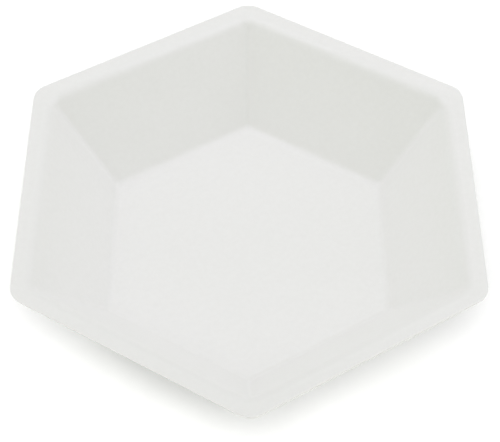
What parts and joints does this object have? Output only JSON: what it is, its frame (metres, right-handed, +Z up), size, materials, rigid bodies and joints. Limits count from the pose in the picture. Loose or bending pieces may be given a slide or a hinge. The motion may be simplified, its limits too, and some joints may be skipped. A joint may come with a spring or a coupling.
{
  "type": "weighing boat",
  "caption": "Shallow hexagonal weighing boat formed from thin white plastic sheet, with a flat floor, sloping walls and a narrow flange around its open mouth.",
  "frame": {"origin": "centre of the floor's underside, which is the plane that the boat stands on", "axes": "+Z up through the open mouth, +Y through two opposite corners, +X through two opposite flats"},
  "size_m": [0.1198, 0.1366, 0.0268],
  "materials": {
    "polystyrene_sheet": "white formed polystyrene sheet, satin"
  },
  "bodies": {
    "root": {"weighing_boat": "polystyrene_sheet"}
  },
  "joints": []
}
